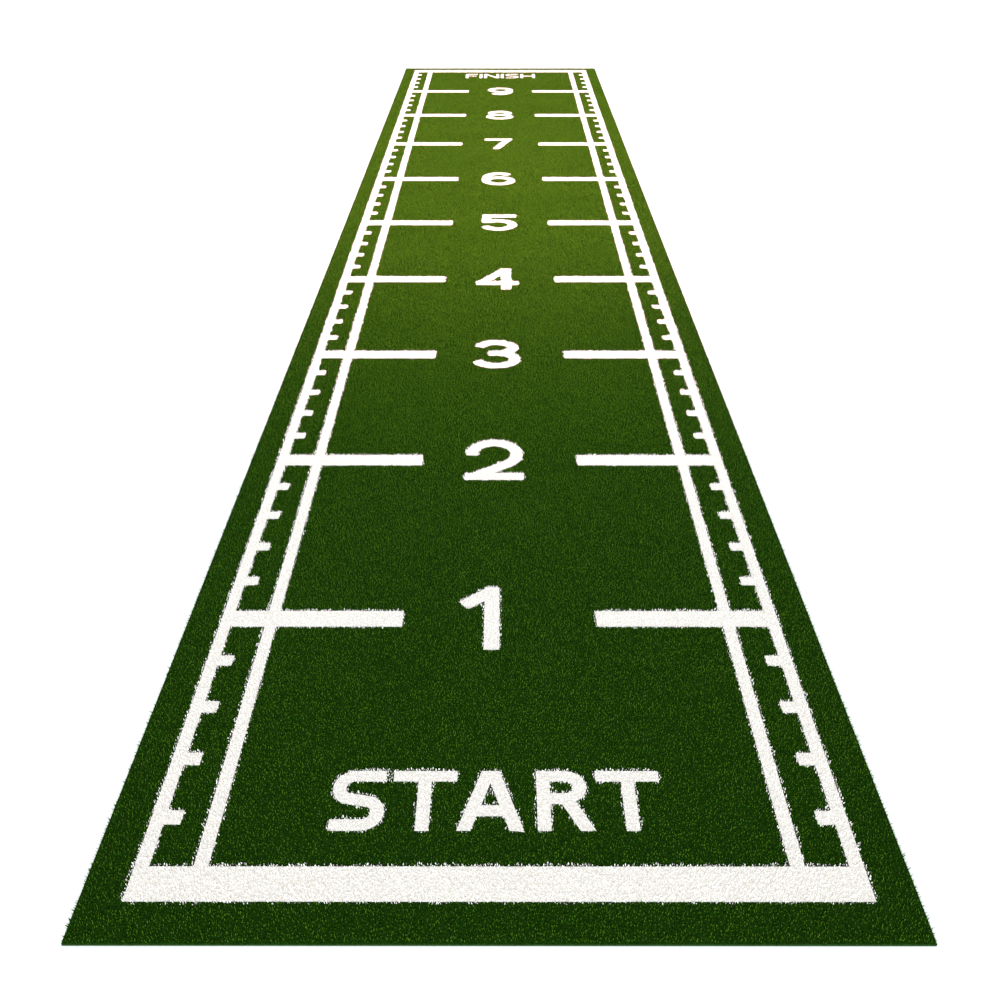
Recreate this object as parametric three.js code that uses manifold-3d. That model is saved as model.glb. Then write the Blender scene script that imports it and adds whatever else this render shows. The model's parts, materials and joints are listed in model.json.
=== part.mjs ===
// A rolled-out practice lane of short artificial grass, two metres wide and marked over ten metres.
// The green carpet is three layers: a latex coat underneath, a woven backing, and the tufted pile.
// Each white mark is a strip of white grass. It is glued into a pocket that was sheared into the
// green pile, so its top is level with the green. The lane lies along Y, from START to FINISH, and
// its underside is at Z = 0. All sizes are in millimetres.
import * as THREE from "three";
import { mergeVertices } from "three/addons/utils/BufferGeometryUtils.js";
import Module from "manifold-3d";

const wasm = await Module();
wasm.setup();

// The lane.
const METRE = 1000;
const METRES = 10;
const WIDTH = 2000;
const SIDE_BORDER = 100; // green grass left outside the rails
const END_BORDER = 105; // and beyond the start and finish lines
const GAP = 0.25; // clearance between neighbouring pieces
const SLIVER = 0.01; // joins and cuts leave no detail finer than this
const OVERRUN = 1; // how far a tooth runs into its rail, and a cut runs past what it cuts

// The layers, from the floor up.
const LATEX_THICK = 1.75;
const WOVEN_THICK = 0.75;
const STUBBLE = 2; // sheared green pile left under a white mark
const TOTAL_THICK = 15;

// The marks.
const BAND = 110; // the start and finish lines
const RAIL = 48; // the long lines of the side scales
const RAIL_SPACING = 145; // from the outer rail to the inner rail
const BAR = 88; // the line at each metre
const BAR_REACH = 305; // from the lane's middle to a metre bar's inner end
const TICK = 56;
const TICK_REACH = 43; // how far a tick stands out from the outer rail
const TICKS_PER_METRE = 5;

// The lettering, a plain face of even strokes with straight ends.
const DIGIT_WIDTH = 245;
const DIGIT_HEIGHT = 325;
const DIGIT_STROKE = 60;
const DIGIT_SHIFT = -28; // the row of numerals starts a little left of the lane's middle,
const DIGIT_DRIFT = 3; // and comes this much nearer to it with every metre
const DIGIT_LIFT = 8; // the numerals' middles lie this far beyond their bars'
const LETTER_HEIGHT = 210;
const START_STROKE = 47;
const FINISH_STROKE = 30;
const START_SHIFT = -7;
const WORD_INSET = 257; // from a start or finish line's middle to its word's middle
const ARC_DIVISIONS = 5; // an arc of a stroke has twice as many straight steps

const HALF_WIDTH = WIDTH / 2;
const MARKS_HALF = HALF_WIDTH - SIDE_BORDER;
const HALF_LENGTH = (METRES * METRE + BAND) / 2 + END_BORDER;
const WOVEN_BOTTOM = LATEX_THICK + GAP;
const PILE_BOTTOM = WOVEN_BOTTOM + WOVEN_THICK + GAP;
const POCKET_FLOOR = PILE_BOTTOM + STUBBLE;

const dull = (color, roughness) => new THREE.MeshStandardMaterial({ color, roughness, metalness: 0 });
const whiteGrass = () => dull(0xf7f3ea, 0.9);
const greenGrass = () => dull(0x35600f, 0.9);
const wovenBacking = () => dull(0x2b2d2a, 0.95);
const latexCoat = () => dull(0x3c4a3a, 0.8);

const lane = new THREE.Group();
lane.name = "practice_turf_lane";

const atMetre = (n) => (n - METRES / 2) * METRE;
const radians = THREE.MathUtils.degToRad;

function addPart(name, geometry, material) {
  const mesh = new THREE.Mesh(geometry, material);
  mesh.name = name;
  lane.add(mesh);
}

// A box geometry between two corners.
function block([x0, y0, z0], [x1, y1, z1]) {
  const geometry = new THREE.BoxGeometry(x1 - x0, y1 - y0, z1 - z0);
  return geometry.translate((x0 + x1) / 2, (y0 + y1) / 2, (z0 + z1) / 2);
}

function solidOf(geometry) {
  geometry.deleteAttribute("normal");
  geometry.deleteAttribute("uv");
  const merged = mergeVertices(geometry, 1e-3);
  return new wasm.Manifold(
    new wasm.Mesh({
      numProp: 3,
      vertProperties: merged.attributes.position.array,
      triVerts: new Uint32Array(merged.index.array),
    }),
  );
}

function geometryOf(solid) {
  const mesh = solid.simplify(SLIVER).getMesh();
  const geometry = new THREE.BufferGeometry();
  geometry.setAttribute("position", new THREE.BufferAttribute(new Float32Array(mesh.vertProperties), 3));
  geometry.setIndex(new THREE.BufferAttribute(new Uint32Array(mesh.triVerts), 1));
  geometry.computeVertexNormals();
  return geometry;
}

const joined = (solids) => solids.reduce((whole, solid) => whole.add(solid));

// The carpet's two backings, flat sheets of the lane's full size.
function backings() {
  const sheet = (bottom, thick) =>
    block([-HALF_WIDTH, -HALF_LENGTH, bottom], [HALF_WIDTH, HALF_LENGTH, bottom + thick]);
  addPart("latex_backing", sheet(0, LATEX_THICK), latexCoat());
  addPart("woven_backing", sheet(WOVEN_BOTTOM, WOVEN_THICK), wovenBacking());
}

// Every mark is a name and a function that makes its solid between two heights, grown sideways by
// the clearance when it is a pocket.
const marks = [];

// A mark of rectangles, each given by its corners as [x0, y0, x1, y1].
function addRectangles(name, rectangles) {
  const solid = (grow, z0, z1) =>
    joined(
      rectangles.map(([x0, y0, x1, y1]) =>
        solidOf(block([x0 - grow, y0 - grow, z0], [x1 + grow, y1 + grow, z1])),
      ),
    );
  marks.push({ name, solid });
}

function startAndFinishLines() {
  for (const [name, metre] of [["start_line", 0], ["finish_line", METRES]]) {
    const y = atMetre(metre);
    addRectangles(name, [[-MARKS_HALF, y - BAND / 2, MARKS_HALF, y + BAND / 2]]);
  }
}

// Down each side run two rails. The outer one carries the scale: short ticks at every fifth of a
// metre and a long tooth at every metre, which meets the inner rail. A bar goes on from there.
function sideScales() {
  const outerEdge = MARKS_HALF - RAIL; // the outer rail's inner side
  const innerRail = MARKS_HALF - RAIL_SPACING;
  const ends = [atMetre(0) + BAND / 2 + GAP, atMetre(METRES) - BAND / 2 - GAP];
  for (const [side, hand] of [["left", -1], ["right", 1]]) {
    const across = (inner, outer, y0, y1) =>
      hand < 0 ? [-outer, y0, -inner, y1] : [inner, y0, outer, y1];
    const comb = [across(outerEdge, MARKS_HALF, ...ends)];
    for (let step = 1; step < METRES * TICKS_PER_METRE; step++) {
      const y = atMetre(step / TICKS_PER_METRE);
      const metre = step % TICKS_PER_METRE === 0;
      const half = (metre ? BAR : TICK) / 2;
      const reach = metre ? outerEdge - innerRail - GAP : TICK_REACH;
      comb.push(across(outerEdge - reach, outerEdge + OVERRUN, y - half, y + half));
    }
    addRectangles(side + "_outer_scale", comb);
    addRectangles(side + "_inner_rail", [across(innerRail - RAIL, innerRail, ...ends)]);
    for (let metre = 1; metre < METRES; metre++) {
      const y = atMetre(metre);
      addRectangles(side + "_metre_bar_" + metre, [
        across(BAR_REACH, innerRail - RAIL - GAP, y - BAR / 2, y + BAR / 2),
      ]);
    }
  }
}

// The outline of a stroke of even width along a line of points, with straight ends.
function strokeShape(points, half, longer) {
  const line = points.filter((p, i) => i === 0 || p.distanceTo(points[i - 1]) > 0.01);
  const last = line.length - 1;
  const ahead = line.slice(1).map((p, i) => p.clone().sub(line[i]).normalize());
  line[0].addScaledVector(ahead[0], -longer);
  line[last].addScaledVector(ahead[last - 1], longer);
  const across = line.map((p, i) => {
    const before = ahead[Math.max(i - 1, 0)];
    const along = before.clone().add(ahead[Math.min(i, last - 1)]).normalize();
    const mitre = half / along.dot(before);
    return new THREE.Vector2(-along.y, along.x).multiplyScalar(mitre);
  });
  const right = line.map((p, i) => p.clone().sub(across[i]));
  const left = line.map((p, i) => p.clone().add(across[i]));
  return new THREE.Shape([...right, ...left.reverse()]);
}

// The outline of a closed loop of even width.
function ringShape({ aX, aY, xRadius, yRadius }, half) {
  const oval = (path, more) => path.absellipse(aX, aY, xRadius + more, yRadius + more, 0, 2 * Math.PI);
  const shape = oval(new THREE.Shape(), half);
  shape.holes.push(oval(new THREE.Path(), -half));
  return shape;
}

// A mark of strokes, cut off square at the sides of its cell. The cell's middle is at (x, y), and
// turn is how far the glyph is turned round in it.
function addGlyph(name, paths, stroke, [width, height], [x, y], turn = 0) {
  const solid = (grow, z0, z1) => {
    const half = stroke / 2 + grow;
    const strokes = paths.map((path) => {
      const shape = path.isEllipseCurve
        ? ringShape(path, half)
        : strokeShape(path.getPoints(ARC_DIVISIONS), half, grow);
      const settings = { depth: z1 - z0, bevelEnabled: false, curveSegments: 2 * ARC_DIVISIONS };
      return solidOf(new THREE.ExtrudeGeometry(shape, settings).rotateZ(turn).translate(x, y, z0));
    });
    const across = width / 2 + grow;
    const along = height / 2 + grow;
    const low = [x - across, y - along, z0 - OVERRUN];
    const cell = block(low, [x + across, y + along, z1 + OVERRUN]);
    return joined(strokes).intersect(solidOf(cell));
  };
  marks.push({ name, solid });
}

const line = (...points) => new THREE.Path(points.map(([x, y]) => new THREE.Vector2(x, y)));

function arc(x, y, rx, ry, from, to) {
  return new THREE.Path().absellipse(x, y, rx, ry, radians(from), radians(to), to < from);
}

const loop = (x, y, rx, ry) => new THREE.EllipseCurve(x, y, rx, ry);

// The numerals' strokes, from w and h, half the cell's size measured to the stroke's middle, and
// e, how far past that the stroke's edge lies. Trims of a few millimetres set how far an end runs
// into the stroke that it meets, or stops short of the cell's side.
function numeralPaths(numeral, w, h, e) {
  const waist = h * 0.06; // the 3 and the 8 are pinched this far above the middle
  const bowl = (h + waist) / 2;
  const fiveBowl = bowl * 1.2;
  const sixBowl = bowl * 1.15;
  const flagDrop = 76; // the 1's flag ends this far below its top
  const fourStem = w * 0.54; // the 4's upright is this far right of the middle
  const six = [
    arc(0, h * 0.2, w, h * 0.8, 38, 180).lineTo(-w, sixBowl - h + 8),
    loop(0, sixBowl - h, w, sixBowl),
  ];
  return {
    1: () => [line([0, -h - e], [0, h + e]), line([0, h + 4], [-w - 4, h - flagDrop])],
    2: () => [arc(0, h - w, w, w, 188, -51).lineTo(-w + 12, -h), line([-w - e, -h], [w + e, -h])],
    3: () => [
      arc(0, h - bowl + waist, w * 0.9, bowl - waist, 176, -92),
      arc(0, waist - bowl, w, bowl, 92, -172),
      line([-w * 0.45, waist], [0, waist]),
    ],
    4: () => [
      line([fourStem, -h - e], [fourStem, h + e]),
      line([fourStem - 6, h + 8], [-w, -h / 2]),
      line([-w - e, -h / 2], [w + e, -h / 2]),
    ],
    5: () => [
      line([w + e - 2, h], [-w * 0.8, h], [-w * 0.87, -6]),
      arc(0, fiveBowl - h, w, fiveBowl, 132, -162),
    ],
    6: () => six,
    7: () => [line([-w - e, h], [w - 20, h], [-w * 0.42, -h - 2 * e])],
    8: () => [loop(0, h - bowl + waist, w * 0.87, bowl - waist), loop(0, waist - bowl, w, bowl)],
    9: () => six,
  }[numeral]();
}

// A letter's width between the middles of its outer strokes, and its strokes from w, h and e as
// above.
const LETTERS = {
  S: [
    107,
    (w, h, e) => {
      const r = h / 2;
      const path = line([w + e - 4, h], [-w + r, h]);
      path.absellipse(-w + r, h - r, r, r, radians(90), radians(236), false);
      path.absellipse(w - r, r - h, r, r, radians(56), radians(-90), true);
      return [path.lineTo(-w - e + 4, -h)];
    },
  ],
  T: [135, (w, h, e) => [line([-w - e, h], [w + e, h]), line([0, -h - e], [0, h])]],
  A: [
    141,
    (w, h, e) => [
      line([-w - 7, -h - 2 * e], [4, h + 2 * e]),
      line([w + 7, -h - 2 * e], [-4, h + 2 * e]),
      line([-w * 0.7, -h * 0.43], [w * 0.7, -h * 0.43]),
    ],
  ],
  R: [
    117,
    (w, h, e) => {
      const r = h * 0.47;
      const bowl = line([-w, h], [w - 20 - r, h]);
      bowl.absellipse(w - 20 - r, h - r, r, r, radians(90), radians(-90), true);
      const leg = line([0, h - 2 * r], [w + 9, -h - 2 * e]);
      return [line([-w, -h - e], [-w, h + e]), bowl.lineTo(-w, h - 2 * r), leg];
    },
  ],
  F: [
    93,
    (w, h, e) => [
      line([-w, -h - e], [-w, h + e]),
      line([-w, h], [w + e, h]),
      line([-w, 2], [w + e - 14, 2]),
    ],
  ],
  I: [0, (w, h, e) => [line([0, -h - e], [0, h + e])]],
  N: [
    125,
    (w, h, e) => [
      line([-w, -h - e], [-w, h + e]),
      line([w, -h - e], [w, h + e]),
      line([-w - 3, h + e], [w + 3, -h - e]),
    ],
  ],
  H: [
    118,
    (w, h, e) => [line([-w, -h - e], [-w, h + e]), line([w, -h - e], [w, h + e]), line([-w, 0], [w, 0])],
  ],
};

// How much closer together, or further apart, some pairs of letters stand than the others.
const KERNING = { TA: -15, AR: 18, RT: -10 };

function numerals() {
  const e = DIGIT_STROKE / 2;
  const cell = [DIGIT_WIDTH, DIGIT_HEIGHT];
  for (let metre = 1; metre < METRES; metre++) {
    const paths = numeralPaths(metre, DIGIT_WIDTH / 2 - e, DIGIT_HEIGHT / 2 - e, e);
    const turn = metre === 9 ? Math.PI : 0; // a nine is a six turned half round
    const middle = [DIGIT_SHIFT + DIGIT_DRIFT * metre, atMetre(metre) + DIGIT_LIFT];
    addGlyph("numeral_" + metre, paths, DIGIT_STROKE, cell, middle, turn);
  }
}

// A word's letters, side by side with the same space between most of them, centred on a point.
function word(letters, stroke, space, [middle, y]) {
  const e = stroke / 2;
  const cells = [...letters].map((letter, i) => {
    const before = i === 0 ? 0 : space + (KERNING[letters[i - 1] + letter] ?? 0);
    return { letter, before, width: LETTERS[letter][0] + stroke };
  });
  let x = middle - cells.reduce((sum, { before, width }) => sum + before + width, 0) / 2;
  cells.forEach(({ letter, before, width }, i) => {
    const name = letters.toLowerCase() + "_letter_" + (i + 1) + "_" + letter;
    const paths = LETTERS[letter][1](width / 2 - e, LETTER_HEIGHT / 2 - e, e);
    x += before + width;
    addGlyph(name, paths, stroke, [width, LETTER_HEIGHT], [x - width / 2, y]);
  });
}

// The green pile with a pocket for every mark, and the white marks in them.
function pileAndMarks() {
  const low = [-HALF_WIDTH, -HALF_LENGTH, PILE_BOTTOM];
  const slab = solidOf(block(low, [HALF_WIDTH, HALF_LENGTH, TOTAL_THICK]));
  const pockets = joined(marks.map((mark) => mark.solid(GAP, POCKET_FLOOR, TOTAL_THICK + OVERRUN)));
  addPart("green_turf", geometryOf(slab.subtract(pockets)), greenGrass());
  for (const mark of marks) {
    addPart(mark.name, geometryOf(mark.solid(0, POCKET_FLOOR + GAP, TOTAL_THICK)), whiteGrass());
  }
}

backings();
startAndFinishLines();
sideScales();
numerals();
word("START", START_STROKE, 4, [START_SHIFT, atMetre(0) + WORD_INSET]);
word("FINISH", FINISH_STROKE, 17, [0, atMetre(METRES) - WORD_INSET]);
pileAndMarks();

export default lane;
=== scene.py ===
# A practice lane of short artificial grass, two metres by ten and a bit, with white grass marks.
# It is put together in the order a turf maker would: backings, green pile, white marks, and then
# the studio's floor and lamps.
import json
import math

import bmesh
import bpy
import numpy as np
from mathutils import Euler, Matrix, Vector


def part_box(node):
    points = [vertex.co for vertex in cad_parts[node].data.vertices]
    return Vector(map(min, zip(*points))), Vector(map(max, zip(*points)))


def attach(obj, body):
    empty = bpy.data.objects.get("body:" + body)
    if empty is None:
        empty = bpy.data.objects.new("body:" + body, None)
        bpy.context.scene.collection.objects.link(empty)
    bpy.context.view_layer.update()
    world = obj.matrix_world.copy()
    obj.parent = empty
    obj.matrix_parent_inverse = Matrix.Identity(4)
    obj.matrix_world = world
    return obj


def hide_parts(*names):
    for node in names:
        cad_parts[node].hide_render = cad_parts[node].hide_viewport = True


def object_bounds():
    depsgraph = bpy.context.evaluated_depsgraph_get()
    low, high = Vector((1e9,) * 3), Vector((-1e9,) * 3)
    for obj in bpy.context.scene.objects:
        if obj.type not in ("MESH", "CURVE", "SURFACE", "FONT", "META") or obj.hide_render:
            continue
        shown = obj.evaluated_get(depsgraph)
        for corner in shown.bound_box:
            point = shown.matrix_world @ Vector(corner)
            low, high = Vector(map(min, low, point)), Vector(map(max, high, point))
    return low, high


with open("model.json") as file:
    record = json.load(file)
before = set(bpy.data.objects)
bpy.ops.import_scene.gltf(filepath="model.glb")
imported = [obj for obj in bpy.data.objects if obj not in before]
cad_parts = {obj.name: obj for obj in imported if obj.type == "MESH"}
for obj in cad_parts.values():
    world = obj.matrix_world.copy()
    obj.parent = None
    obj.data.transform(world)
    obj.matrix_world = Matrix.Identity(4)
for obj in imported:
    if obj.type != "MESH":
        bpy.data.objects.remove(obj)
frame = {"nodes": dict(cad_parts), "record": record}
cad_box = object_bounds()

scene = bpy.context.scene


# ---------------------------------------------------------------------------------------------
# Camera. It stands behind the start line at about the height of a raised hand, looks straight
# down the lane and tips down, so that the near edge nearly fills its view from side to side.
# ---------------------------------------------------------------------------------------------
lane_low, lane_high = cad_box
START_Y = lane_low.y + 0.160  # the middle of the start line
BEHIND_LINE = 1.599
EYE_HEIGHT = 2.129  # above the tips of the grass
TIPPED_DOWN = 32.87
camera = bpy.data.cameras.new("camera")
camera.lens = 37.36
camera.sensor_width = 36
camera.clip_end = 200
camera_object = bpy.data.objects.new("camera", camera)
camera_object.location = (0.003, START_Y - BEHIND_LINE, lane_high.z + EYE_HEIGHT)
camera_object.rotation_euler = Euler((math.radians(90 - TIPPED_DOWN), 0, math.radians(0.035)))
scene.collection.objects.link(camera_object)
scene.camera = camera_object


# ---------------------------------------------------------------------------------------------
# Latex coat. The lowest layer is carboxylated latex, poured on the back of the cloth and cured.
# It is dull and dark, and it dips between the tuft rows, which show through as fine ribs.
# ---------------------------------------------------------------------------------------------
def linear(hex_colour):
    """An sRGB hex colour as linear red, green, blue and alpha."""
    channels = [int(hex_colour[i : i + 2], 16) / 255 for i in (1, 3, 5)]
    straight = [c / 12.92 if c <= 0.04045 else ((c + 0.055) / 1.055) ** 2.4 for c in channels]
    return (*straight, 1)


def add(tree, kind, inputs=(), stops=(), **settings):
    """A node with its settings. inputs holds a value or another node's output for each socket, and
    stops holds the (position, hex colour) pairs of a colour ramp."""
    node = tree.nodes.new(kind)
    for name, value in settings.items():
        setattr(node, name, value)
    while stops and len(node.color_ramp.elements) < len(stops):
        node.color_ramp.elements.new(0.5)
    for number, (position, colour) in enumerate(stops):
        node.color_ramp.elements[number].position = position
        node.color_ramp.elements[number].color = linear(colour)
    for socket, value in dict(inputs).items():
        if isinstance(value, bpy.types.NodeSocket):
            tree.links.new(value, node.inputs[socket])
        else:
            node.inputs[socket].default_value = value
    return node


def new_finish(name):
    """A new material with an empty node tree, and that tree."""
    material = bpy.data.materials.new(name)
    material.use_nodes = True
    material.node_tree.nodes.clear()
    return material, material.node_tree


TUFT_ROW = 0.005  # close to the 3/16 inch gauge of a tufting machine
WAVE_BANDS = 3  # at a scale of 1, a wave texture has about this many bands to the metre
CLOUDS_PER_METRE = 14  # the pour is uneven in places about 70 mm across

# Dull, dark green-grey rubber, faintly ribbed, and cloudy where the pour was uneven. The ribs are also
# painted darker in their dips, as painted shade.
latex, tree = new_finish("cured_latex_coat")
place = add(tree, "ShaderNodeTexCoord").outputs["Object"]
rows = add(
    tree,
    "ShaderNodeTexWave",
    {"Vector": place, "Scale": 1 / TUFT_ROW / WAVE_BANDS, "Distortion": 1.5, "Detail": 2},
    bands_direction="X",
)
stain = add(
    tree,
    "ShaderNodeTexNoise",
    {"Vector": place, "Scale": CLOUDS_PER_METRE, "Detail": 5, "Roughness": 0.6},
)
# Part of the colour follows the ribs' height: painted shade in the dips.
skin = add(
    tree,
    "ShaderNodeMix",
    {"Factor": 0.3, "A": stain.outputs["Fac"], "B": rows.outputs["Fac"]},
    data_type="FLOAT",
)
bump = add(tree, "ShaderNodeBump", {"Height": rows.outputs["Fac"], "Strength": 0.6, "Distance": 0.0006})
shade = add(
    tree,
    "ShaderNodeValToRGB",
    {"Fac": skin.outputs[0]},
    stops=[(0.2, "#262e2a"), (0.8, "#3b453f")],
)
shader = add(
    tree,
    "ShaderNodeBsdfPrincipled",
    {
        "Base Color": shade.outputs["Color"],
        "Roughness": 0.62,
        "IOR": 1.52,
        "Normal": bump.outputs["Normal"],
    },
)
add(tree, "ShaderNodeOutputMaterial", {"Surface": shader.outputs["BSDF"]})
coat = frame["nodes"]["latex_backing"]
coat.data.materials.clear()
coat.data.materials.append(latex)


# ---------------------------------------------------------------------------------------------
# Woven backing. The tufts are stitched through a black cloth of flat polypropylene tapes. Only
# its cut edge shows, as a dark line under the grass all round the lane.
# ---------------------------------------------------------------------------------------------
TAPE = 0.0024  # one flat tape of the weave

# Nearly black, with a slight plastic shine, and with the crowns of the tapes painted paler as a painted
# highlight and the dips between them darker as painted shade.
tapes, tree = new_finish("woven_polypropylene_tape")
place = add(tree, "ShaderNodeTexCoord").outputs["Object"]
warp, weft = (
    add(tree, "ShaderNodeTexWave", {"Vector": place, "Scale": 1 / TAPE / WAVE_BANDS}, bands_direction=way)
    for way in "XY"
)
weave = add(
    tree,
    "ShaderNodeMath",
    {0: warp.outputs["Fac"], 1: weft.outputs["Fac"]},
    operation="MULTIPLY",
)
bump = add(tree, "ShaderNodeBump", {"Height": weave.outputs[0], "Strength": 0.5, "Distance": 0.0003})
# The weave's height also sets the colour: painted highlight on the crowns, painted shade between the tapes.
shade = add(
    tree,
    "ShaderNodeValToRGB",
    {"Fac": weave.outputs[0]},
    stops=[(0.1, "#0c0e0b"), (0.9, "#23261f")],
)
shader = add(
    tree,
    "ShaderNodeBsdfPrincipled",
    {
        "Base Color": shade.outputs["Color"],
        "Roughness": 0.5,
        "IOR": 1.49,
        "Normal": bump.outputs["Normal"],
    },
)
add(tree, "ShaderNodeOutputMaterial", {"Surface": shader.outputs["BSDF"]})
cloth = frame["nodes"]["woven_backing"]
cloth.data.materials.clear()
cloth.data.materials.append(tapes)


# ---------------------------------------------------------------------------------------------
# Green pile. Polyethylene blades are stitched through the cloth and sheared level. Curled thatch
# yarn fills the space between their feet, coloured darker than the blades as painted shade of the pile.
# ---------------------------------------------------------------------------------------------
BLADE_SPACING = 0.0055  # each blade stands for a whole tuft, drawn wider than a fibre so it shows
BLADE_WIDTH = 0.003
JITTER = 0.46  # a root strays up to this share of the spacing, each way
SHEAR_SPREAD = 0.09  # shearing leaves the heights this uneven
LEAN, LEAN_SPREAD, STEEPEST_LEAN = 12, 7, 26  # in degrees
SPLAY_ZONE = 0.007  # blades this near a long side have no neighbours beyond it, and fall outwards
SPLAY = math.radians(14)  # by this much more than they would lean in the pile
TONES = 32  # the yarn shades, each one column of the blade's map
random = np.random.default_rng(20)
pile_low, pile_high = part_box("green_turf")
THATCH_TOP = pile_low.z + 0.005
FIRST_ROW = 0.0015  # the outermost blades are rooted this far inside the cut sides
KNEE = 0.55  # a blade bends at this part of its height
KNEE_WIDTH = 0.85  # and has narrowed to this part of its width there
TIP_BEND = 1.6  # and above that leans this many times as far


def smooth_noise(x, y, size):
    """Soft patches of about that size, in metres, from -1 to 1, by blending random grid values."""
    across = np.stack([x - lane_low.x, y - lane_low.y]) / size
    corner = np.floor(across).astype(int)
    part = across - corner
    part = part * part * (3 - 2 * part)
    values = np.random.default_rng(int(size * 1e5)).uniform(-1, 1, corner.max(axis=1) + 2)
    low, high = values[corner[0], corner[1]], values[corner[0] + 1, corner[1]]
    low_next, high_next = values[corner[0], corner[1] + 1], values[corner[0] + 1, corner[1] + 1]
    first = low + (high - low) * part[0]
    return first + (low_next + (high_next - low_next) * part[0] - first) * part[1]


def top_triangles(node):
    """The triangles of a node's flat top, seen from above."""
    mesh = frame["nodes"][node].data
    mesh.calc_loop_triangles()
    points = np.empty(len(mesh.vertices) * 3, np.float32)
    mesh.vertices.foreach_get("co", points)
    corners = np.empty(len(mesh.loop_triangles) * 3, np.int32)
    mesh.loop_triangles.foreach_get("vertices", corners)
    triangles = points.reshape(-1, 3)[corners].reshape(-1, 3, 3)
    level = (triangles[:, :, 2] > pile_high.z - 1e-4).all(axis=1)
    return triangles[level][:, :, :2]


CELL = 0.0025  # the map of the marks has one cell to every 2.5 mm


def mark_map(nodes):
    """Which mark covers each cell of the lane: 0 for green, or 1 and up in the order of nodes."""
    xs, ys = (
        np.arange(lane_low[i] + CELL / 2, lane_high[i], CELL, dtype=np.float32) for i in (0, 1)
    )
    labels = np.zeros((len(ys), len(xs)), np.int16)
    for number, node in enumerate(nodes, 1):
        for triangle in top_triangles(node):
            low, high = triangle.min(axis=0), triangle.max(axis=0)
            columns = slice(*np.searchsorted(xs, [low[0], high[0]]))
            rows = slice(*np.searchsorted(ys, [low[1], high[1]]))
            x, y = np.meshgrid(xs[columns], ys[rows])
            sides = [
                (q[0] - p[0]) * (y - p[1]) - (q[1] - p[1]) * (x - p[0])
                for p, q in zip(triangle, np.roll(triangle, -1, axis=0))
            ]
            hit = (np.minimum.reduce(sides) >= 0) | (np.maximum.reduce(sides) <= 0)
            labels[rows, columns][hit] = number
    return labels


def grown(labels, radius):
    """The map with every mark grown by that radius."""
    reach = int(radius / CELL)
    result = labels.copy()
    for down in range(-reach, reach + 1):
        for across in range(-reach, reach + 1):
            if math.hypot(down, across) * CELL <= radius:
                np.maximum(result, np.roll(labels, (down, across), (0, 1)), out=result)
    return result


def shrunk(covered, radius):
    """A map of zeros and ones, with the ones shrunk by that radius."""
    return 1 - grown(1 - covered, radius)


def worn(labels, inner, outer):
    """The map with its inner corners filled to one radius, and its outer corners rounded to another."""
    wide = grown(labels, inner)
    filled = shrunk((wide > 0).astype(np.int16), inner)
    labels = np.where(labels > 0, labels, wide * filled)
    covered = (labels > 0).astype(np.int16)
    return labels * grown(shrunk(covered, outer), outer)


def blade_roots():
    """Where every blade of the lane is rooted, on a jittered grid, sorted by y."""
    spans = [lane_high[i] - lane_low[i] - 2 * FIRST_ROW for i in (0, 1)]
    counts = [int(span / BLADE_SPACING) for span in spans]
    steps = np.stack(np.meshgrid(*[np.arange(n) + 0.5 for n in counts]), axis=-1).reshape(-1, 2)
    steps += random.uniform(-JITTER, JITTER, steps.shape)
    sizes = [span / count for span, count in zip(spans, counts)]
    roots = steps * sizes + [lane_low.x + FIRST_ROW, lane_low.y + FIRST_ROW]
    return roots[np.argsort(roots[:, 1])]


def blade_mesh(name, roots, foot, tone):
    """Bent, tapering blades on the given roots. tone runs from 0 to 1 and picks each one's shade."""
    count = len(roots)
    height = (pile_high.z - foot) * random.normal(1.0, SHEAR_SPREAD, count)
    bearing = random.uniform(0, 2 * math.pi, count)
    lean = np.radians(np.abs(random.normal(LEAN, LEAN_SPREAD, count)).clip(0, STEEPEST_LEAN))
    splayed = np.abs(roots[:, 0]) > lane_high.x - SPLAY_ZONE
    outward = np.where(roots[:, 0] > 0, 0, math.pi) + random.normal(0, 0.5, count)
    bearing = np.where(splayed, outward, bearing)
    lean = np.where(splayed, lean + SPLAY, lean)
    twist = bearing + math.pi / 2 + random.normal(0, 0.45, count)
    way = np.stack([np.cos(bearing), np.sin(bearing)], axis=1)
    side = np.stack([np.cos(twist), np.sin(twist)], axis=1) * (BLADE_WIDTH / 2)
    side *= random.uniform(0.75, 1.2, (count, 1))
    knee_reach = np.tan(lean) * height * KNEE
    knee = np.column_stack([roots + way * knee_reach[:, None], foot + height * KNEE])
    tip_reach = np.tan(lean * TIP_BEND) * height * (1 - KNEE)
    tip = np.column_stack([knee[:, :2] + way * tip_reach[:, None], foot + height])
    base = np.column_stack([roots, np.full(count, foot)])
    wide = np.column_stack([side, np.zeros(count)])
    narrow = wide * KNEE_WIDTH
    points = np.stack([base - wide, base + wide, knee - narrow, knee + narrow, tip], axis=1)
    first = np.arange(count)[:, None] * 5
    corners = first + np.array([0, 1, 3, 2, 2, 3, 4])
    column = np.clip((tone * TONES).astype(int), 0, TONES - 1)
    across = np.array([0.1, 0.9, 0.1, 0.9, 0.5])
    up = np.array([0, 0, KNEE, KNEE, 1])
    mesh = bpy.data.meshes.new(name)
    mesh.vertices.add(count * 5)
    mesh.vertices.foreach_set("co", points.astype(np.float32).ravel())
    mesh.loops.add(count * 7)
    mesh.loops.foreach_set("vertex_index", corners.astype(np.int32).ravel())
    mesh.polygons.add(count * 2)
    starts = np.arange(count)[:, None] * 7 + np.array([0, 4])
    mesh.polygons.foreach_set("loop_start", starts.astype(np.int32).ravel())
    chart = mesh.uv_layers.new(name="OFBake")
    chart_u = (column[:, None] + across) / TONES
    chart_v = np.broadcast_to(up, (count, 5))
    chart_points = np.stack([chart_u, chart_v], axis=2).reshape(-1, 2)
    chart.data.foreach_set("uv", chart_points[corners.ravel()].astype(np.float32).ravel())
    mesh.update(calc_edges=True)
    mesh.polygons.foreach_set("use_smooth", np.ones(count * 2, bool))
    return mesh


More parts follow.
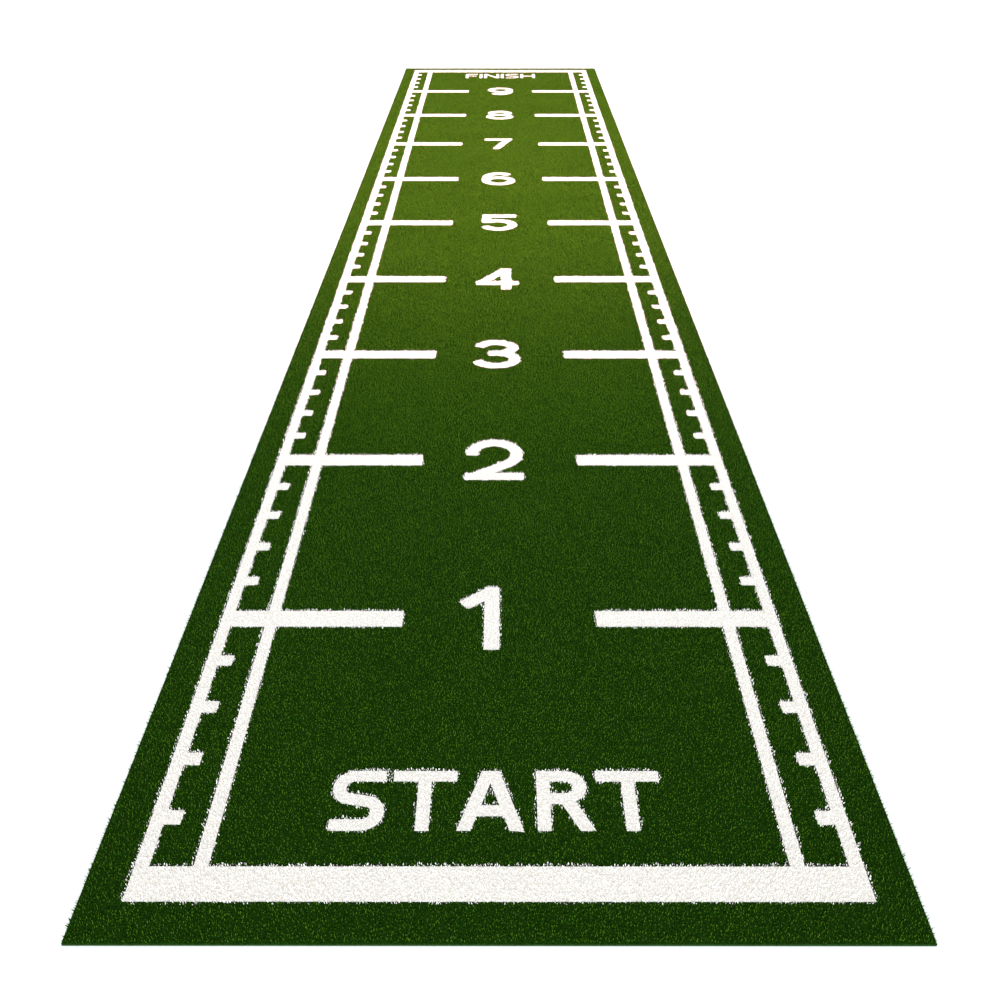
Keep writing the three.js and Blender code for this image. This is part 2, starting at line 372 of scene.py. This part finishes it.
def yarn(name, shades, painted_shading_stops):
    """Extruded polyethylene: nearly matt, with a rib down its middle, and paler towards the tip; the darker
    foot is painted shade, and the green yarn's yellower tip is painted light.
    """
    material, tree = new_finish(name)
    chart = add(tree, "ShaderNodeUVMap", uv_map="OFBake").outputs["UV"]
    place = add(tree, "ShaderNodeSeparateXYZ", {"Vector": chart})
    columns = add(tree, "ShaderNodeMath", {0: place.outputs["X"], 1: float(TONES)}, operation="MULTIPLY")
    rib = add(tree, "ShaderNodeMath", {0: columns.outputs[0], 1: 0.5}, operation="PINGPONG")
    bump = add(tree, "ShaderNodeBump", {"Height": rib.outputs[0], "Strength": 0.3, "Distance": 0.0004})
    gloss = add(
        tree,
        "ShaderNodeMapRange",
        {"Value": place.outputs["Y"], "To Min": 0.75, "To Max": 0.55},
    )
    shade = add(tree, "ShaderNodeValToRGB", {"Fac": place.outputs["X"]}, stops=shades)
    # Colour by height up the blade: painted shade towards the feet, and on the green yarn painted light at
    # the tips.
    painted_shading = add(tree, "ShaderNodeValToRGB", {"Fac": place.outputs["Y"]}, stops=painted_shading_stops)
    colour = add(
        tree,
        "ShaderNodeMix",
        {"Factor": 1.0, 6: shade.outputs["Color"], 7: painted_shading.outputs["Color"]},
        data_type="RGBA",
        blend_type="MULTIPLY",
    )
    shader = add(
        tree,
        "ShaderNodeBsdfPrincipled",
        {
            "Base Color": colour.outputs[2],
            "Roughness": gloss.outputs["Result"],
            "IOR": 1.51,
            "Specular IOR Level": 0.02,
            "Normal": bump.outputs["Normal"],
        },
    )
    add(tree, "ShaderNodeOutputMaterial", {"Surface": shader.outputs["BSDF"]})
    return material


# Deep green at the blades' feet, which is painted shade of the pile, and a paler, yellower green at their
# sheared tips, which is painted light where it catches them.
green_yarn = yarn(
    "green_polyethylene_yarn",
    [(0.0, "#c4ccb8"), (0.5, "#e0e4d8"), (1.0, "#ffffff")],
    [(0.0, "#092103"), (0.5, "#174306"), (1.0, "#739127")],
)

mark_nodes = [
    row["node"] for row in frame["record"]["subparts"] if row["material_slot"] == "white_pile"
]
# The blades wear a mark's corners round, less on the thin strokes of the last word.
INNER_WEAR, OUTER_WEAR = 0.008, 0.022
THIN_INNER_WEAR, THIN_OUTER_WEAR = 0.004, 0.010
WANDER = 0.0045  # how far a mark's edge wanders off its true line
thin = [number for number, node in enumerate(mark_nodes, 1) if node.startswith("finish_letter")]
labels = mark_map(mark_nodes)
marks = worn(np.where(np.isin(labels, thin), 0, labels), INNER_WEAR, OUTER_WEAR)
marks += worn(np.where(np.isin(labels, thin), labels, 0), THIN_INNER_WEAR, THIN_OUTER_WEAR)
roots = blade_roots()
wobble = [WANDER * smooth_noise(*roots.T, size) for size in (0.009, 0.0095)]
column, row = (
    ((roots[:, i] + wobble[i] - lane_low[i]) / CELL).astype(int).clip(0, marks.shape[1 - i] - 1)
    for i in (0, 1)
)
mark_of = marks[row, column].astype(int) - 1

green_roots = roots[mark_of < 0]
PATCHES = [(0.35, 0.12), (0.03, 0.14)]  # each size in metres of the paler and darker patches, and how strong
patches = sum(smooth_noise(*green_roots.T, size) * strength for size, strength in PATCHES)
GREEN_SPREAD = 0.16  # and how far single blades differ in shade
tones = 0.5 + patches + random.normal(0, GREEN_SPREAD, len(green_roots))
CHUNKS = 12  # the pile is split along its length into pieces of a handy size
GREEN_FOOT = pile_low.z + 0.002
chunk_of = ((green_roots[:, 1] - lane_low.y) / (lane_high.y - lane_low.y) * CHUNKS).astype(int)
for chunk in range(CHUNKS):
    here = chunk_of == chunk
    mesh = blade_mesh(f"green_pile_{chunk}", green_roots[here], GREEN_FOOT, tones[here])
    mesh.materials.append(green_yarn)
    piece = bpy.data.objects.new(mesh.name, mesh)
    scene.collection.objects.link(piece)
    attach(piece, "root")
    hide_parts("green_turf")


def sheet_mesh(name, low, high, bottom, top, cell, roughen):
    """A closed sheet between two corners with a rough top."""
    counts = [max(1, round((high[i] - low[i]) / cell)) for i in (0, 1)]
    xs = np.linspace(low[0], high[0], counts[0] + 1)
    ys = np.linspace(low[1], high[1], counts[1] + 1)
    x, y = (grid.ravel() for grid in np.meshgrid(xs, ys))
    wide, long = len(xs), len(ys)
    z = top + roughen * random.uniform(-1, 1, len(x))
    upper = np.column_stack([x, y, z])
    lower = np.column_stack([x, y, np.full(len(x), bottom)])
    number = np.arange(len(x)).reshape(long, wide)
    a, b, c, d = (
        part.ravel() for part in (number[:-1, :-1], number[:-1, 1:], number[1:, 1:], number[1:, :-1])
    )
    rim = np.concatenate([number[0, :-1], number[:-1, -1], number[-1, :0:-1], number[:0:-1, 0]])
    onward = np.roll(rim, -1)
    under = len(x)
    floor = rim[::-1] + under
    quads = np.concatenate(
        [np.column_stack([a, b, c, d]), np.column_stack([rim, rim + under, onward + under, onward])]
    )
    mesh = bpy.data.meshes.new(name)
    faces = quads.tolist() + [floor.tolist()]
    mesh.from_pydata(np.concatenate([upper, lower]).tolist(), [], faces)
    return mesh


THATCH_CELL = 0.04
THATCH_UNEVENNESS = 0.0006
CURLS_PER_METRE = 220  # one curl of the thatch yarn to about every 4.5 mm

# Mottled dark green with almost no shine; its dark green is painted shade between the blades.
thatch_yarn, tree = new_finish("curled_thatch_yarn")
place = add(tree, "ShaderNodeTexCoord").outputs["Object"]
curls = add(tree, "ShaderNodeTexNoise", {"Vector": place, "Scale": CURLS_PER_METRE, "Detail": 3})
shade = add(
    tree,
    "ShaderNodeValToRGB",
    {"Fac": curls.outputs["Fac"]},
    stops=[(0.35, "#0d2403"), (0.65, "#1b3c08")],
)
shader = add(
    tree,
    "ShaderNodeBsdfPrincipled",
    {
        "Base Color": shade.outputs["Color"],
        "Roughness": 0.85,
        "IOR": 1.51,
        "Specular IOR Level": 0.02,
    },
)
add(tree, "ShaderNodeOutputMaterial", {"Surface": shader.outputs["BSDF"]})
mesh = sheet_mesh(
    "green_thatch", pile_low, pile_high, pile_low.z, THATCH_TOP, THATCH_CELL, THATCH_UNEVENNESS
)
mesh.materials.append(thatch_yarn)
piece = bpy.data.objects.new("green_thatch", mesh)
scene.collection.objects.link(piece)
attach(piece, "root")
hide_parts("green_turf")


# ---------------------------------------------------------------------------------------------
# White marks. Strips, numerals and letters of white grass are cut out, and glued into pockets
# that were sheared into the green. Their edges are ragged, because both piles lean across them.
# ---------------------------------------------------------------------------------------------
# Bright, very slightly pink white, with a little painted shade towards the blades' feet.
white_yarn = yarn(
    "white_polyethylene_yarn",
    [(0.0, "#eee4e5"), (0.5, "#f5ebec"), (1.0, "#fbf2f3")],
    [(0.0, "#f2efee"), (0.6, "#ffffff")],
)

# Creamier than the blades, and mottled, so that the gaps between them stay pale.
white_thatch, tree = new_finish("white_thatch_yarn")
place = add(tree, "ShaderNodeTexCoord").outputs["Object"]
curls = add(tree, "ShaderNodeTexNoise", {"Vector": place, "Scale": CURLS_PER_METRE, "Detail": 3})
shade = add(
    tree,
    "ShaderNodeValToRGB",
    {"Fac": curls.outputs["Fac"]},
    stops=[(0.35, "#d8d2cc"), (0.65, "#f4f0ea")],
)
shader = add(
    tree,
    "ShaderNodeBsdfPrincipled",
    {
        "Base Color": shade.outputs["Color"],
        "Roughness": 0.85,
        "IOR": 1.51,
        "Specular IOR Level": 0.02,
    },
)
add(tree, "ShaderNodeOutputMaterial", {"Surface": shader.outputs["BSDF"]})
THATCH_SHARE = 0.5  # the thatch fills the white pile to this part of its height
THATCH_INSET = 0.006  # and stops this far short of the mark's outline, under the outermost blades
THATCH_OVERLAP = 0.0005  # but where marks touch it runs this far over its neighbour's
BESIDE = 0.002  # a mark this close to a side touches it
WHITE_FOOT = 0.003  # the white blades are rooted this far above the pocket's floor
WHITE_SPREAD = 0.2  # how far single white blades differ in shade
SHORTEST_SIDE = 0.005  # corners nearer together than this are one corner of the thatch
JOINT_SIDE = 0.2  # only a side shorter than this can be an end that butts against another mark


def side_moves(face, number):
    """A side's outward direction, and how far it moves that way: out to a touching mark, else in."""
    facing = face.normal.xy.normalized()
    beyond = face.calc_center_median().xy + facing * BESIDE
    column, row = (int((beyond[i] - lane_low[i]) / CELL) for i in (0, 1))
    short = max(edge.calc_length() for edge in face.edges) < JOINT_SIDE
    butts = short and labels[row, column] not in (0, number)
    return facing, THATCH_INSET + THATCH_OVERLAP if butts else -THATCH_INSET


def thatch_mesh(node, number):
    """The node's own solid, flattened to the thatch's height, with its sides moved in or out."""
    solid = bmesh.new()
    solid.from_mesh(frame["nodes"][node].data)
    bmesh.ops.remove_doubles(solid, verts=solid.verts, dist=SHORTEST_SIDE)
    bmesh.ops.dissolve_limit(solid, angle_limit=math.radians(1), verts=solid.verts, edges=solid.edges)
    solid.normal_update()
    solid.verts.index_update()
    bottom = min(vertex.co.z for vertex in solid.verts)
    points = []
    for vertex in solid.verts:
        sides = [side_moves(face, number) for face in vertex.link_faces if face.normal.xy.length > 0.5]
        shift = Vector((0, 0))
        if sides:
            (first, reach), (last, last_reach) = sides[0], sides[-1]
            shift = first * reach
            if abs(first.dot(last)) < 0.99:
                shift = Matrix([first, last]).inverted() @ Vector((reach, last_reach))
        x, y = vertex.co.xy + shift
        points.append((x, y, bottom + (vertex.co.z - bottom) * THATCH_SHARE))
    mesh = bpy.data.meshes.new(node + "_thatch")
    mesh.from_pydata(points, [], [[vertex.index for vertex in face.verts] for face in solid.faces])
    mesh.materials.append(white_thatch)
    solid.free()
    return mesh


for number, node in enumerate(mark_nodes):
    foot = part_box(node)[0].z + WHITE_FOOT
    own_roots = roots[mark_of == number]
    shades = 0.5 + random.normal(0, WHITE_SPREAD, len(own_roots))
    mesh = blade_mesh(node + "_pile", own_roots, foot, shades)
    mesh.materials.append(white_yarn)
    piece = bpy.data.objects.new(mesh.name, mesh)
    scene.collection.objects.link(piece)
    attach(piece, "root")
    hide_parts(node)
    base_mesh = thatch_mesh(node, number + 1)
    base = bpy.data.objects.new(base_mesh.name, base_mesh)
    scene.collection.objects.link(base)
    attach(base, "root")
    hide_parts(node)


# ---------------------------------------------------------------------------------------------
# Floor and lamps. A wide white paper floor in a pale room, lit by a low bank of lamps behind the
# camera and by a warm spot aimed past the finish line.
# ---------------------------------------------------------------------------------------------
floor_mesh = bpy.data.meshes.new("studio_floor")
REACH = 60  # far past everything that the camera sees
floor_mesh.from_pydata(
    [(-REACH, -REACH, 0), (REACH, -REACH, 0), (REACH, REACH, 0), (-REACH, REACH, 0)], [], [(0, 1, 2, 3)]
)
studio_floor = bpy.data.objects.new("studio_floor", floor_mesh)
studio_floor.location.z = -0.0005  # just under the lane, so that the two don't share a plane

# Matt, bright and plain, with no grain that shows.
paper, tree = new_finish("white_background_paper")
shader = add(tree, "ShaderNodeBsdfPrincipled", {"Base Color": linear("#fbfbfb"), "Roughness": 0.9})
add(tree, "ShaderNodeOutputMaterial", {"Surface": shader.outputs["BSDF"]})
floor_mesh.materials.append(paper)
scene.collection.objects.link(studio_floor)

world = bpy.data.worlds.new("white_room")
world.use_nodes = True
world.node_tree.nodes["Background"].inputs["Color"].default_value = (1, 1, 1, 1)
world.node_tree.nodes["Background"].inputs["Strength"].default_value = 0.69
scene.world = world


def lamp(name, kind, power, colour, place, tip, **settings):
    """A lamp that the camera does not see, tipped up by that many degrees from straight down."""
    light = bpy.data.lights.new(name, kind)
    light.energy = power
    light.color = colour
    for key, value in settings.items():
        setattr(light, key, value)
    light_object = bpy.data.objects.new(name, light)
    light_object.location = place
    light_object.rotation_euler = (math.radians(tip), 0, 0)
    light_object.visible_camera = False
    scene.collection.objects.link(light_object)


lamp("front_bank", "SUN", 5.5, (0.82, 0.93, 0.92), (0, 0, 6), 70, angle=0.9)
lamp(
    "far_spot",
    "SPOT",
    19000,
    (1.0, 0.55, 0.48),
    (0, -9, 4.6),
    74.5,
    spot_size=math.radians(42),
    spot_blend=1.0,
    shadow_soft_size=0.8,
)

scene.view_settings.view_transform = "Standard"
